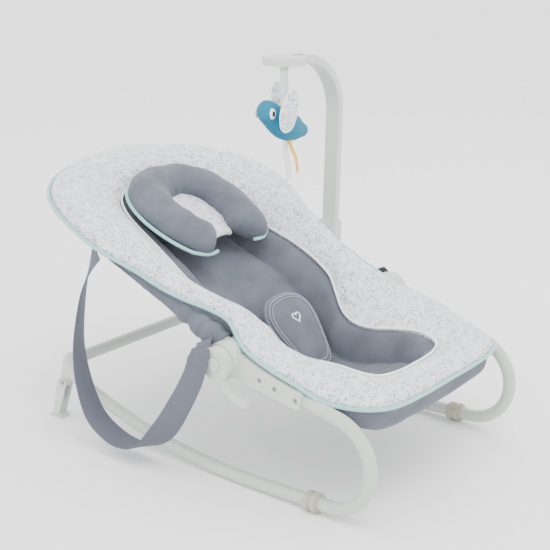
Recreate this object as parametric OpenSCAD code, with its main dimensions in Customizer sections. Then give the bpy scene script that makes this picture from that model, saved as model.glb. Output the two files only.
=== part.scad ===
// Baby bouncer: a rocking steel base, a reclining backrest, a padded cover and a toy bar.
// The foot end is -Y, the head end is +Y, and the floor is Z = 0.

/* [Base] */
// Distance between the centres of the two side tubes
track = 400; // [350:5:460]
// Outer diameter of the side, cross and backrest tubes
tube_d = 20; // [17:0.5:24]
// Wall of every steel tube
tube_wall = 1.5; // [1:0.1:2.5]
// Radius of the front bends
bend_r = 70; // [58:1:84]
// Place of the front bends' centre along the base
front_y = -272; // [-312:1:-254]
// Radius of the rocking curve
rocker_r = 950; // [760:10:1300]
// Slope of the rocker ahead of the rocking curve
rocker_dip = 1.8; // [1:0.1:3]
// Slope of the side tube at its rear end
rear_rise = 21; // [17:0.5:24]
// Slope of the upper tube between the front bend and the hub
arm_rise = 12.5; // [9:0.5:15]
// Thickness of the rubber floor rings
ring_t = 5; // [3:0.5:7]
// Width of the rubber floor rings
ring_w = 24; // [16:1:34]
// Place of the floor rings along the base
ring_y = -247; // [-254:1:-227]

/* [Hub and arms] */
// Place of the recline axis along the base
hub_y = -92; // [-104:1:-82]
// Outer diameter of the hub
hub_d = 56; // [50:1:62]
// Diameter of the hub axles
axle_d = 8; // [6:0.5:10]
// Length of the plastic side arms from the hub
arm_l = 142; // [120:1:160]
// Height of the side arms at the hub
arm_h = 36; // [32:1:42]
// Wall of the side arms around the tube
arm_wall = 3; // [2:0.25:4]
// Thickness of the fixed hub plates
plate_t = 18; // [14:1:22]
// Diameter of the lock pins
lock_d = 6; // [5:0.5:7]
// Angle of a fully pressed release lever
lever_angle = 20; // [12:1:24]

/* [Rear feet] */
// Outer width of the folding feet
foot_w = 18; // [15:1:24]
// Sheet thickness of the folding feet
foot_wall = 2.5; // [1.5:0.25:3]
// Diameter of the foot pins
pin_d = 5; // [4:0.5:6]

/* [Backrest] */
// Slope of the backrest as shown
recline = 25; // [22:0.5:28]
// Distance between the backrest legs at the hub
back_track = 380; // [360:2:384]
// Outward lean of the backrest legs
flare = 2.5; // [1:0.1:4]
// Length of the backrest tube above the hub
back_l = 465; // [400:5:520]
// Corner radius of the backrest tube
back_r = 165; // [140:5:175]

/* [Seat] */
// Outer diameter of the seat tube
seat_tube_d = 16; // [13:0.5:18]
// Distance between the legs of the seat tube
seat_track = 356; // [330:2:358]
// Length of the seat tube ahead of its sockets
seat_l = 200; // [180:2:215]
// Corner radius of the seat tube
seat_r = 60; // [45:5:80]
// Slope of the seat tube
seat_rise = 13.5; // [11:0.5:14]

/* [Cover] */
// Half width of the cover at its widest place
cover_half = 245; // [238:1:262]
// Length of the rounded head end of the cover
head_round = 182; // [160:2:200]
// Half width of the opening in the padded ring
open_half = 118; // [100:2:130]
// Thickness of the quilted ring
pad_t = 14; // [8:1:20]
// Thickness of the liner
liner_t = 9; // [5:1:14]

/* [Toy bar] */
// Place of the toy bar socket up the backrest
socket_s = 128; // [110:2:150]
// Width of the toy bar
bar_w = 27; // [22:1:34]
// Thickness of the toy bar
bar_t = 12; // [9:1:14]
// Radius of the toy bar's bend, along its middle
bar_r = 96; // [80:2:110]
// Height of the toy bar's middle line above the floor
bar_z = 592; // [540:2:640]
// Reach of the toy disc's centre from the middle plane
disc_x = 72; // [50:1:90]
// Diameter of the toy disc
disc_d = 70; // [56:1:84]

/* [Carry straps] */
// Width of the webbing
strap_w = 38; // [28:1:40]
// Distance of the straps from the middle plane
strap_x = 246; // [244:1:258]

/* [Hidden] */
$fn = 64;

fit = 0.05;              // radial running clearance of pins and axles
socket_fit = 0.2;        // radial clearance of tubes in their sockets
gap = 0.4;               // clearance between neighbouring pieces
lap = 0.4;               // how far a straight tube runs into a bend
step = 0.1;              // how much a bend's wall is thicker, on each face
tube_x = track / 2;
ring_r = tube_d / 2 + ring_t;
ring_lip = ring_w / 4;
ring_z = ring_r * cos(rocker_dip) + 1.5 * ring_lip * sin(rocker_dip);
white = "#d3d9d3";
slate = "#7f8592";
melange = "#dcdfe3";

// Side tube in the Y-Z plane. The rocker line runs under the rings, tangent to the front bend.
rocker_dir = [cos(rocker_dip), -sin(rocker_dip)];
rocker_up = [sin(rocker_dip), cos(rocker_dip)];
bend_c = [front_y, ring_z + (bend_r - (front_y - ring_y) * rocker_up.x) / rocker_up.y];
bend_low = bend_c - bend_r * rocker_up;
flat_l = 135;            // straight stretch of the rocker
rocker_start = bend_low + flat_l * rocker_dir;
rocker_c = rocker_start + rocker_r * rocker_up;
rear_end = rocker_c + rocker_r * [sin(rear_rise), -cos(rear_rise)];
arm_dir = [cos(arm_rise), sin(arm_rise)];
bend_top = bend_c + bend_r * [-sin(arm_rise), cos(arm_rise)];
hub = bend_top + arm_dir * (hub_y - bend_top.x) / arm_dir.x;
hub_z = hub.y;
tube_stop = 40;          // distance from the hub axis to the end of the upper tube

// Hub, from the inside out: backrest half, fixed plate, lever cap.
plate_x = tube_x + 4;
lever_x = plate_x + plate_t + gap;
lever_t = 13;
back_x = plate_x - gap;
back_t = 26;
hub_clear = hub_d / 2 + 1;
cap_t = 3;
lock_r = 17;             // distance of the lock pins from the axle
lock_at = -60;           // angle of the lock pins around the axle
lock_travel = 5;
recline_up = 16;         // how far the backrest swings up from the place shown
recline_down = 14;       // and how far down
screw_at = [68, 96, 134];
screw_d = 4;
head_d = 8;

// Rear corner and foot.
corner = rear_end + [26, 30];
bar_c = [corner.x - 1, corner.y + 3];
pivot = rear_end + [37, -6];
foot_x = tube_x + 3;
foot_lean = 18;
lug_t = foot_w - 2 * foot_wall - 2 * gap;
head_r = 8.5;

// Backrest, in a frame on the hub axis with +Y up the slope.
leg_x = back_track / 2;
back_lift = 6;           // height of the tube's plane above the hub axis
leg_y = back_l - back_r * (1 + sin(flare));
leg_end = [leg_x + leg_y * tan(flare), leg_y];
back_c = leg_end + back_r * [-cos(flare), sin(flare)];
leg_start = 24;
hub_socket_l = 62;

// Seat, in a frame where the seat tube leaves its sockets with -Y down the slope.
seat_leg = seat_track / 2;
seat_y = hub_y - hub_clear - 6;
seat_z = hub_z - 1.5;
boss_l = 46;

// Toy bar, in the X-Z plane through its socket.
socket_c = [leg_x + socket_s * tan(flare), socket_s];
bar_y = hub_y + socket_s * cos(recline) - back_lift * sin(recline);
bar_clear = tube_d / 2 / cos(recline) + bar_w / 2 * tan(recline) + 1;
bar_foot_z = hub_z + socket_s * sin(recline) + back_lift * cos(recline) + bar_clear;
bar_foot_x = socket_c.x + 8;
bar_lean = 2.1;
bar_leg = (bar_z - bar_r - bar_r * sin(bar_lean) - bar_foot_z) / cos(bar_lean);
bar_bend = [
    bar_foot_x + bar_leg * sin(bar_lean) - bar_r * cos(bar_lean),
    bar_foot_z + bar_leg * cos(bar_lean) + bar_r * sin(bar_lean),
];
pocket_l = 30;
pocket_wall = 3;
disc_t = 12;
hook_z = bar_z - disc_t / 2 - 5;
toy_x = disc_x;
bird_z = bar_z - 100;    // height of the thickest part of the bird
bird_dive = 22;          // slope of the bird's back

// Return springs behind the lever caps, and the webbing.
coil_turns = 2;
coil_steps = 20;         // stations of the wire in each turn
coil_pitch = 2;
coil_l = coil_turns * coil_pitch;
coil_r = axle_d / 2 + 3.5;
strap_t = 3;

// ---------- helpers ----------

module side(s) {
    if (s > 0) children();
    else mirror([1, 0, 0]) children();
}

// Lays a drawing plane on the Y-Z plane: its x runs along Y, its y up, and its height along X.
module in_yz(x = 0) { translate([x, 0, 0]) rotate([90, 0, 90]) children(); }

module in_xz(y = 0) { translate([0, y, 0]) rotate([90, 0, 0]) children(); }

module on_back() { translate([0, hub_y, hub_z]) rotate([recline, 0, 0]) children(); }

module on_seat() { translate([0, seat_y, seat_z]) rotate([seat_rise, 0, 0]) children(); }

// The side arm's frame: the drawing plane's x runs from the hub along the arm.
module on_arm(x) { in_yz(x) translate([hub_y, hub_z]) rotate(180 + arm_rise) children(); }

module ring_2d(d, bore) {
    difference() {
        circle(d = d);
        circle(d = bore);
    }
}

// A straight length of tube runs a little way into the bends at its ends, and a bend is a hair
// thicker than it, so that the two always join in a clean step.
module tube_line(p, q, d, bore) {
    v = q - p;
    translate([p.x, p.y, 0]) rotate([0, 0, atan2(v.y, v.x)]) rotate([0, 90, 0])
        translate([0, 0, -lap]) linear_extrude(norm(v) + 2 * lap) ring_2d(d, bore);
}

module tube_arc(c, r, from, to, d, bore) {
    translate([c.x, c.y, 0]) rotate([0, 0, from])
        rotate_extrude(angle = to - from, $fn = 128) translate([r, 0])
            ring_2d(d + 2 * step, max(bore - 2 * step, 0));
}

module pin(x0, x1, y, z, d) {
    translate([x0, y, z]) rotate([0, 90, 0]) cylinder(h = x1 - x0, d = d);
}

// ---------- base ----------

module side_tube_path(d, bore) {
    tube_line(hub - tube_stop * arm_dir, bend_top, d, bore);
    tube_arc(bend_c, bend_r, 90 + arm_rise, 270 - rocker_dip, d, bore);
    tube_line(bend_low, rocker_start, d, bore);
    tube_arc(rocker_c, rocker_r, 270 - rocker_dip, 270 + rear_rise, d, bore);
}

module arm_holes(x0, x1, d) {
    for (s = screw_at) on_arm(x0) translate([s, 0, 0]) cylinder(h = x1 - x0, d = d);
}

module side_tube(s) {
    color(white) side(s) difference() {
        in_yz(tube_x) side_tube_path(tube_d, tube_d - 2 * tube_wall);
        arm_holes(tube_x - tube_d, tube_x + tube_d, screw_d + gap);
    }
}

module rear_crossbar() {
    half = tube_x - tube_d / 2;
    color(white) in_yz(-half) translate([bar_c.x, bar_c.y, 0])
        linear_extrude(2 * half) ring_2d(tube_d, tube_d - 2 * tube_wall);
}

module rear_corner(s) {
    rise = [cos(rear_rise), sin(rear_rise)];
    spigot = rear_end - 16 * rise;
    face = rear_end + (lap + gap) * rise;
    knee = rear_end + 22 * rise;
    spigot_d = tube_d - 2 * tube_wall - 2 * socket_fit - 4 * step;
    color(white) side(s) difference() {
        union() {
            hull() {
                in_yz(tube_x) tube_line(face, knee, tube_d, 0, $fn = 32);
                in_yz(tube_x) translate([corner.x, corner.y, 0]) sphere(d = tube_d + 8, $fn = 32);
                pin(tube_x - 22, tube_x, bar_c.x, bar_c.y, tube_d + 7, $fn = 32);
            }
            in_yz(tube_x) tube_line(spigot, rear_end + 3 * rise, spigot_d, 0);
            hull() {
                pin(foot_x - lug_t / 2, foot_x + lug_t / 2, pivot.x, pivot.y, 2 * head_r - 1, $fn = 32);
                pin(foot_x - lug_t / 2, foot_x + lug_t / 2, corner.x, corner.y, 2 * head_r, $fn = 32);
            }
        }
        for (e = [-1, 1]) {
            x0 = foot_x + e * (lug_t / 2 + 10);
            pin(x0 - 10, x0 + 10, pivot.x, pivot.y, 2 * head_r + 2);
        }
        pin(foot_x - 20, foot_x + 20, pivot.x, pivot.y, pin_d + 2 * fit);
        pin(0, tube_x - tube_d / 2 + fit, bar_c.x, bar_c.y, tube_d + 2 * socket_fit);
    }
}

// A folded channel: two cheeks on the pin, a web behind them and a pad on the floor.
module foot(s) {
    leg = pivot.y / cos(foot_lean);
    web_v = head_r + gap;
    color(white) side(s) in_yz(foot_x) difference() {
        union() {
            intersection() {
                translate([pivot.x, pivot.y, -foot_w / 2]) rotate(foot_lean - 90) difference() {
                    linear_extrude(foot_w) union() {
                        circle(r = head_r);
                        polygon([
                            [0, -head_r], [leg + 6, -5], [leg + 6, 7],
                            [14, web_v + 2], [4, web_v + 2], [0, head_r],
                        ]);
                    }
                    translate([-head_r - 1, -head_r - 1, foot_wall])
                        cube([leg + 2 * head_r, 2 * head_r + 1 + gap, foot_w - 2 * foot_wall]);
                }
                translate([pivot.x - 60, 0, -foot_w]) cube([120, 2 * pivot.y, 2 * foot_w]);
            }
            translate([pivot.x + 8, 0, -foot_w / 2 - 1]) linear_extrude(foot_w + 2)
                polygon([[0, 0], [30, 0], [30, 3], [22, 7], [2, 7]]);
        }
        translate([pivot.x, pivot.y, -foot_w]) cylinder(h = 2 * foot_w, d = pin_d + 2 * fit);
    }
}

module foot_pins() {
    half = foot_w / 2 + 0.2;
    color("#b9bdbb") for (s = [-1, 1]) side(s) {
        pin(foot_x - half, foot_x + half, pivot.x, pivot.y, pin_d);
        pin(foot_x - half - 1.5, foot_x - half, pivot.x, pivot.y, pin_d + 3);
        pin(foot_x + half, foot_x + half + 1.5, pivot.x, pivot.y, pin_d + 3);
    }
}

module floor_ring(s) {
    color("#c9c8b8") side(s) translate([tube_x, ring_y, ring_z]) rotate([90 - rocker_dip, 0, 0])
        difference() {
            union() {
                cylinder(h = ring_w, r = ring_r - 1.5, center = true);
                for (e = [-1, 1]) translate([0, 0, e * ring_lip])
                    cylinder(h = ring_lip, r = ring_r, center = true);
            }
            cylinder(h = ring_w + 1, d = tube_d + 2 * socket_fit, center = true);
        }
}

// ---------- arms and hub ----------

module arm_plan() {
    end_h = tube_d + 2 * arm_wall;
    hull_free = arm_l - end_h / 4;
    polygon([
        [0, -arm_h / 2], [hull_free, -end_h / 2], [arm_l, -end_h / 2 + 4],
        [arm_l, end_h / 2 - 4], [hull_free, end_h / 2], [0, arm_h / 2],
    ]);
}

module arm_bore() {
    in_yz(tube_x) tube_line(hub - (tube_stop - 1) * arm_dir, hub - (arm_l + 20) * arm_dir,
        tube_d + 2 * socket_fit, 0);
}

module arm_outer(s) {
    color(white) side(s) difference() {
        union() {
            difference() {
                on_arm(tube_x) linear_extrude(tube_d / 2 + 4) arm_plan();
                pin(tube_x - 1, plate_x, hub_y, hub_z, 2 * hub_clear);
            }
            pin(plate_x, plate_x + plate_t, hub_y, hub_z, hub_d);
        }
        arm_bore();
        arm_holes(tube_x - 1, tube_x + 30, screw_d + gap);
        arm_holes(tube_x + tube_d / 2 + 1.6, tube_x + 30, head_d + gap);
        pin(plate_x - 1, plate_x + plate_t + 1, hub_y, hub_z, axle_d + 2 * fit);
        lock_place() pin(plate_x - 1, plate_x + plate_t + 1, 0, 0, lock_d + 2 * fit);
    }
}

module arm_inner(s) {
    depth = tube_d / 2 + arm_wall;
    color(white) side(s) difference() {
        union() {
            difference() {
                on_arm(tube_x - depth) linear_extrude(depth - fit) arm_plan();
                pin(tube_x - depth - 1, tube_x, hub_y, hub_z, 2 * hub_clear);
            }
            on_seat() translate([seat_leg, 0, 0]) rotate([90, 0, 0])
                cylinder(h = boss_l, d = seat_tube_d + 6);
        }
        arm_bore();
        arm_holes(tube_x - depth + 3, tube_x + 1, screw_d);
        on_seat() translate([seat_leg, 1, 0]) rotate([90, 0, 0])
            cylinder(h = boss_l + 2, d = seat_tube_d + 2 * socket_fit);
        pin(tube_x - 40, tube_x, hub_y, hub_z, 2 * hub_clear);
    }
}

module arm_screws() {
    head_x = tube_x + tube_d / 2 + 1.6;
    tip_x = tube_x - tube_d / 2 - arm_wall + 3;
    color("#8d9294") for (s = [-1, 1], a = screw_at) side(s) difference() {
        union() {
            on_arm(tip_x) translate([a, 0, 0]) cylinder(h = head_x - tip_x, d = screw_d);
            on_arm(head_x) translate([a, 0, 0]) cylinder(h = 2, d = head_d);
        }
        on_arm(head_x + 1) translate([a, 0, 0]) for (t = [0, 90]) rotate(t)
            translate([-2.5, -0.5, 0]) cube([5, 1, 2]);
    }
}

module lock_place() {
    translate([0, hub_y + lock_r * cos(lock_at), hub_z + lock_r * sin(lock_at)]) children();
}

module hub_axles() {
    color("#a6aaab") for (s = [-1, 1]) side(s) {
        pin(back_x - back_t - 4, lever_x + lever_t + gap + cap_t - 1, hub_y, hub_z, axle_d);
        pin(back_x - back_t - 4, back_x - back_t - gap, hub_y, hub_z, axle_d + 8, $fn = 6);
    }
}

module axle_caps() {
    color(white) for (s = [-1, 1]) side(s) difference() {
        x0 = lever_x + lever_t + gap;
        pin(x0, x0 + cap_t, hub_y, hub_z, axle_d + 12);
        pin(x0 - 1, x0 + cap_t - 1, hub_y, hub_z, axle_d);
    }
}

// The cap turns on the axle and its curved handle hangs below the hub. A groove behind it holds
// the spring and gives the lock pin room to pull back.
module release_lever(s) {
    sweep_c = [hub_y - 53, hub_z - 3];
    sweep_r = 46;
    color(white) side(s) difference() {
        union() {
            pin(lever_x, lever_x + lever_t, hub_y, hub_z, hub_d - 6);
            in_yz(lever_x) translate([sweep_c.x, sweep_c.y]) rotate(-88)
                rotate_extrude(angle = 74) translate([sweep_r - 6, 0.25]) square([12, lever_t - 2.5]);
            in_yz(lever_x) translate([sweep_c.x + sweep_r * cos(-88), sweep_c.y + sweep_r * sin(-88), 0])
                cylinder(h = lever_t - 2, r = 6.5);
        }
        pin(lever_x - 1, lever_x + lever_t + 1, hub_y, hub_z, axle_d + 2 * fit);
        translate([lever_x - 1, hub_y, hub_z]) rotate([0, 90, 0]) linear_extrude(lock_travel + 3)
            ring_2d(2 * (lock_r + lock_d / 2 + 1), 2 * (lock_r - lock_d / 2 - 1));
        translate([lever_x - 1, hub_y, hub_z]) rotate([0, 90, 0]) linear_extrude(coil_l + 3)
            ring_2d(2 * (coil_r + 1.5), 2 * (coil_r - 1.5));
    }
}

module lock_pin(s) {
    color("#9a9ea0") side(s) lock_place()
        pin(plate_x - 6, plate_x + plate_t, 0, 0, lock_d);
}

// Middle line of the spring's wire, and the places around the wire.
function coil_point(i, a, wire) =
    let (t = 360 * i / coil_steps, q = coil_r + wire * cos(a))
    [coil_pitch * i / coil_steps + wire * sin(a), q * cos(t), q * sin(t)];

// Return springs, one behind each lever cap, around the axle.
module lever_springs() {
    wire = 0.6;
    sides = 8;
    rings = coil_turns * coil_steps;
    points = [for (i = [0:rings], k = [0:sides - 1]) coil_point(i, 360 * k / sides, wire)];
    walls = [for (i = [0:rings - 1], k = [0:sides - 1])
        let (here = i * sides, next = here + sides, turn = (k + 1) % sides)
        [here + k, next + k, next + turn, here + turn]];
    caps = [[for (k = [0:sides - 1]) k], [for (k = [sides - 1:-1:0]) rings * sides + k]];
    color("#8d9294") for (s = [-1, 1]) side(s)
        translate([lever_x + 1, hub_y, hub_z]) polyhedron(points, concat(walls, caps), convexity = 4);
}

module seat_tube() {
    color(white) on_seat() for (s = [-1, 1]) side(s) {
        tube_line([seat_leg, -6], [seat_leg, seat_r - seat_l], seat_tube_d, seat_tube_d - 2 * tube_wall);
        tube_arc([seat_leg - seat_r, seat_r - seat_l], seat_r, 270, 360,
            seat_tube_d, seat_tube_d - 2 * tube_wall);
    }
    color(white) on_seat() tube_line([seat_r - seat_leg, -seat_l], [seat_leg - seat_r, -seat_l],
        seat_tube_d, seat_tube_d - 2 * tube_wall);
}

// ---------- backrest ----------

module back_hub(s) {
    leg_dir = [sin(flare), cos(flare)];
    inner = back_x - back_t;
    slot_r = lock_r - lock_d / 2 - gap;
    pin_angle = asin((lock_d / 2 + gap) / slot_r) + 1;
    slot_from = lock_at - recline - recline_up - pin_angle;
    color(white) side(s) on_back() difference() {
        union() {
            rotate([0, 90, 0]) translate([0, 0, inner]) cylinder(h = back_t, d = hub_d - 2);
            translate([leg_x, 0, back_lift])
                tube_line(leg_dir * 8, leg_dir * hub_socket_l, tube_d + 7, 0);
        }
        translate([leg_x, 0, back_lift])
            tube_line(leg_dir * (leg_start - 1), leg_dir * (hub_socket_l + 1), tube_d + 2 * socket_fit, 0);
        rotate([0, 90, 0]) translate([0, 0, inner - 1]) cylinder(h = back_t + 2, d = axle_d + 2 * fit);
        in_yz(back_x - 8) rotate(slot_from)
            rotate_extrude(angle = recline_up + recline_down + 2 * pin_angle) translate([slot_r, 0])
                square([lock_d + 2 * gap, 9]);
        translate([back_x + 0.01, -60, -60]) cube([60, 120, 200]);
    }
}

module back_tube_path(d, bore, from = leg_start) {
    leg_dir = [sin(flare), cos(flare)];
    for (s = [-1, 1]) side(s) {
        tube_line([leg_x, 0] + leg_dir * from, leg_end, d, bore);
        tube_arc(back_c, back_r, -flare, 90, d, bore);
    }
    tube_line([-back_c.x, back_l], [back_c.x, back_l], d, bore);
}

module back_tube() {
    color(white) on_back() translate([0, 0, back_lift]) back_tube_path(tube_d, tube_d - 2 * tube_wall);
}

// ---------- cover ----------

cover_mid = 315;         // place up the backrest where the cover is widest
waist = [176, 36];       // half width of the cover at the hip, and its place
function head_x(y, half, len) = half * sqrt(1 - pow((y - cover_mid) / len, 2));
function head_end(half, len) = [for (a = [0:6:90]) [half * cos(a), cover_mid + len * sin(a)]];

module back_plan(shrink) {
    half = cover_half - shrink;
    right = concat([[waist.x - shrink, waist.y], [waist.x + 16 - shrink, 95], [waist.x + 44 - shrink, 200]],
        head_end(half, head_round - shrink));
    left = [for (i = [len(right) - 1:-1:0]) [-right[i].x, right[i].y]];
    polygon(concat(right, left));
}

module opening_plan(half, from, to) {
    translate([-half, from]) square([2 * half, to - half - from]);
    translate([0, to - half]) circle(r = half);
}

module back_pad() {
    notch = bar_w + 2 * pocket_wall + 4;
    sleeve_room = 6;
    z0 = back_lift + tube_d / 2 + gap;
    color(melange) difference() {
        on_back() difference() {
            translate([0, 0, z0]) linear_extrude(pad_t) back_plan(0);
            translate([0, 0, z0 - 1]) linear_extrude(pad_t + 2) opening_plan(open_half, waist.y - 1, 440);
            side(-1) hub_socket_room();
            hub_socket_room();
        }
        translate([bar_foot_x - 22, bar_y - notch / 2 - sleeve_room, 0])
            cube([80, notch + sleeve_room, 400]);
    }
}

module hub_socket_room() {
    translate([leg_x, 0, back_lift])
        tube_line([0, 0], [sin(flare), cos(flare)] * (hub_socket_l + gap), tube_d + 7 + 2 * gap, 0);
}

// The slate sleeve that the tube runs in, left open around the toy bar socket.
module back_sleeve() {
    color(slate) on_back() translate([0, 0, back_lift]) intersection() {
        difference() {
            back_tube_path(tube_d + 5, tube_d + 2 * gap, hub_socket_l + 6);
            translate([socket_c.x - 30, socket_c.y - 26, -30]) cube([60, 52, 60]);
        }
        translate([-300, 0, -40]) cube([600, 700, 40 + tube_d / 2]);
    }
}

module back_liner() {
    z0 = -26 - liner_t;
    top = back_lift + tube_d / 2 + gap;
    low = 84;
    color(slate) on_back() difference() {
        translate([0, 0, z0]) linear_extrude(top + pad_t - z0)
            opening_plan(open_half - gap, low, 440 - gap);
        translate([0, 0, z0 + liner_t]) linear_extrude(100)
            opening_plan(open_half - gap - 5, low - 1, 440 - gap - 5);
    }
}

module head_support() {
    half = 110;
    z0 = -26 + gap;
    s0 = 192;
    s1 = 398;
    color(slate) on_back() difference() {
        translate([0, 0, z0]) linear_extrude(80) opening_plan(half, s0, s1);
        translate([0, 0, z0 + 46]) linear_extrude(60) opening_plan(half - 66, s0 - 1, s1 - 72);
    }
}

module seat_plan(half, front, from) {
    r = 75;
    x = half - r;
    translate([-half, front + r]) square([2 * half, from - front - r]);
    translate([-x, front]) square([2 * x, r + 1]);
    for (s = [-1, 1]) translate([s * x, front + r]) circle(r = r);
}

module seat_opening() {
    hull() {
        for (s = [-1, 1]) translate([s * 60, 48 - seat_l]) circle(r = 34, $fn = 32);
        translate([-open_half + 12, 0]) square([2 * open_half - 24, 20]);
    }
}

module seat_pad() {
    z0 = seat_tube_d / 2 + 4;
    color(melange) on_seat() difference() {
        translate([0, 0, z0]) linear_extrude(pad_t) seat_plan(tube_x + 4, -seat_l - 24, 0);
        translate([0, 0, z0 - 1]) linear_extrude(pad_t + 2) seat_opening();
    }
}

module seat_skirt() {
    z0 = seat_tube_d / 2 + 4 - gap;
    half = tube_x - tube_d / 2 - arm_wall - gap;
    color(slate) on_seat() difference() {
        translate([0, 0, -24]) linear_extrude(24 + z0) seat_plan(half, -seat_l - 22, -boss_l - gap);
        translate([0, 0, -25]) linear_extrude(60) seat_opening();
        for (s = [-1, 1]) side(s) {
            tube_line([seat_leg, 0], [seat_leg, seat_r - seat_l], seat_tube_d + 2 * gap, 0);
            tube_arc([seat_leg - seat_r, seat_r - seat_l], seat_r, 270, 360, seat_tube_d + 2 * gap, 0);
            tube_line([seat_leg - seat_r, -seat_l], [0, -seat_l], seat_tube_d + 2 * gap, 0);
        }
    }
}

// The hammock between the seat tube and the backrest, drawn from the side.
hammock = [[-20, 184], [-42, 160], [-67, 136], [-97, 117], [-142, 113], [-192, 121], [-284, 133]];

module seat_liner() {
    half = open_half - 16;
    wall_x = open_half - 35;
    under = [for (i = [len(hammock) - 1:-1:0]) hammock[i] - [0, liner_t]];
    rim = [[-284, 150], [-142, 178], [-102, 178], [-20, 184]];
    color(slate) {
        in_yz(-half) linear_extrude(2 * half) polygon(concat(hammock, under));
        for (s = [-1, 1]) side(s) in_yz(wall_x) linear_extrude(5)
            polygon(concat(rim, [for (p = hammock) p - [0, liner_t / 2]]));
    }
}

// ---------- harness ----------

pad_low = [-116, 127];   // lower front edge of the crotch pad
pad_tilt = 50;
pad_l = 132;
pad_thick = 13;

module on_pad() { translate([0, pad_low.x, pad_low.y]) rotate([pad_tilt, 0, 0]) children(); }

module crotch_pad() {
    color("#8a909d") on_pad() translate([0, 0, -pad_thick]) linear_extrude(pad_thick) hull() {
        for (s = [-1, 1]) {
            translate([s * 31, pad_l - 22]) circle(r = 22, $fn = 32);
            translate([s * 22, 18]) circle(r = 18, $fn = 32);
        }
    }
}

module crotch_strap() {
    color(slate) on_pad() translate([-12.5, 6, -pad_thick - 2 - gap]) cube([25, 76, 2]);
}

module harness_buckle() {
    color("#3d4047") on_pad() translate([-20, 83, -pad_thick - 10]) cube([40, 34, 10 - gap]);
}

// ---------- carry straps ----------

// Each station is [y, z, turn]: turn 0 has the webbing's width across the base, 90 along its side.
strap_route = [
    [160, 306, 142], [169, 270, 140], [177, 225, 134], [183, 165, 124], [176, 108, 114],
    [154, 58, 112], [120, 34, 128], [82, 26, 150], [42, 34, 138], [0, 74, 108], [-38, 128, 94],
    [-70, 176, 90],
];

// The four corners of the webbing at station i, square to the route and turned about it.
function strap_ring(i) = let (
        p = strap_route[i],
        a = strap_route[max(i - 1, 0)],
        b = strap_route[min(i + 1, len(strap_route) - 1)],
        slope = atan2(b.y - a.y, b.x - a.x),
        up = [0, -sin(slope), cos(slope)],
        across = [cos(p.z), 0, 0] - sin(p.z) * up,
        out = [sin(p.z), 0, 0] + cos(p.z) * up
    ) [for (c = [[-1, -1], [1, -1], [1, 1], [-1, 1]])
        [strap_x, p.x, p.y] + c.x * strap_w / 2 * across + c.y * strap_t / 2 * out];

module carry_strap(s) {
    n = len(strap_route);
    points = [for (i = [0:n - 1]) for (c = strap_ring(i)) c];
    sides = [for (i = [0:n - 2], k = [0:3], h = [0, 1])
        let (j = 4 * i, m = (k + 1) % 4)
        h == 0 ? [j + k, j + 4 + k, j + 4 + m] : [j + k, j + 4 + m, j + m]];
    ends = [[0, 1, 2, 3], [for (k = [3:-1:0]) 4 * (n - 1) + k]];
    color(slate) side(s) polyhedron(points, concat(sides, ends), convexity = 4);
}

// ---------- toy bar and toy ----------

// The toy bar's open channel, or its solid tongue. Its bend is a hair thicker, as a tube's is.
module bar_section(open = true, more = 0) {
    wall = 2.5;
    difference() {
        square([bar_t + 2 * more, bar_w + 2 * more], center = true);
        if (open) translate([wall + more, wall + more - bar_w / 2])
            square([bar_t, bar_w - 2 * wall - 2 * more]);
    }
}

module toy_socket() {
    half_t = bar_t / 2 + gap / 2;
    half_w = bar_w / 2 + gap / 2;
    color(white) difference() {
        union() {
            on_back() translate([0, 0, back_lift]) socket_sleeve(tube_d + 8, 34);
            translate([bar_foot_x, bar_y, bar_foot_z - 10]) rotate([0, bar_lean, 0])
                translate([-half_t - pocket_wall, -half_w - pocket_wall, 0])
                    cube([2 * (half_t + pocket_wall), 2 * (half_w + pocket_wall), pocket_l + 8]);
        }
        on_back() translate([0, 0, back_lift]) socket_sleeve(tube_d + 2 * socket_fit, 60);
        translate([bar_foot_x, bar_y, bar_foot_z]) rotate([0, bar_lean, 0])
            translate([-half_t, -half_w, 0]) cube([2 * half_t, 2 * half_w, pocket_l + 8]);
        translate([bar_foot_x - 20, bar_y - 4, bar_foot_z + 10]) cube([14, 8, 8]);
    }
}

module socket_sleeve(d, l) {
    leg_dir = [sin(flare), cos(flare)];
    tube_line(socket_c - leg_dir * l / 2, socket_c + leg_dir * l / 2, d, 0);
}

module toy_bar() {
    head_x = disc_x + disc_d / 2 - 6;
    color(white) {
        translate([bar_foot_x, bar_y, bar_foot_z]) rotate([0, bar_lean, 0]) {
            translate([0, 0, gap]) linear_extrude(pocket_l) bar_section(false);
            translate([0, 0, gap + pocket_l - 1])
                linear_extrude(bar_leg - gap - pocket_l + 1 + lap) bar_section();
        }
        in_xz(bar_y) translate([bar_bend.x, bar_bend.y, 0]) rotate([0, 0, -bar_lean])
            rotate_extrude(angle = 90 + bar_lean, $fn = 128) translate([bar_r, 0]) bar_section(more = step);
        translate([head_x, bar_y, bar_z]) rotate([0, 90, 0]) rotate([0, 0, 180])
            linear_extrude(bar_bend.x - head_x + lap) bar_section();
    }
}

module toy_disc() {
    color(white) difference() {
        union() {
            translate([disc_x, bar_y, bar_z - disc_t / 2]) cylinder(h = disc_t, d = disc_d);
            translate([disc_x, bar_y, bar_z - disc_t / 2 - 10]) cylinder(h = 11, d = 14);
        }
        translate([disc_x + disc_d / 2 - 6 - gap, bar_y - bar_w / 2 - gap, bar_z - bar_t / 2 - gap])
            cube([20, bar_w + 2 * gap, bar_t + 2 * gap + 1]);
        translate([disc_x, bar_y - 10, hook_z]) rotate([-90, 0, 0]) cylinder(h = 20, d = 4);
    }
}

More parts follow.
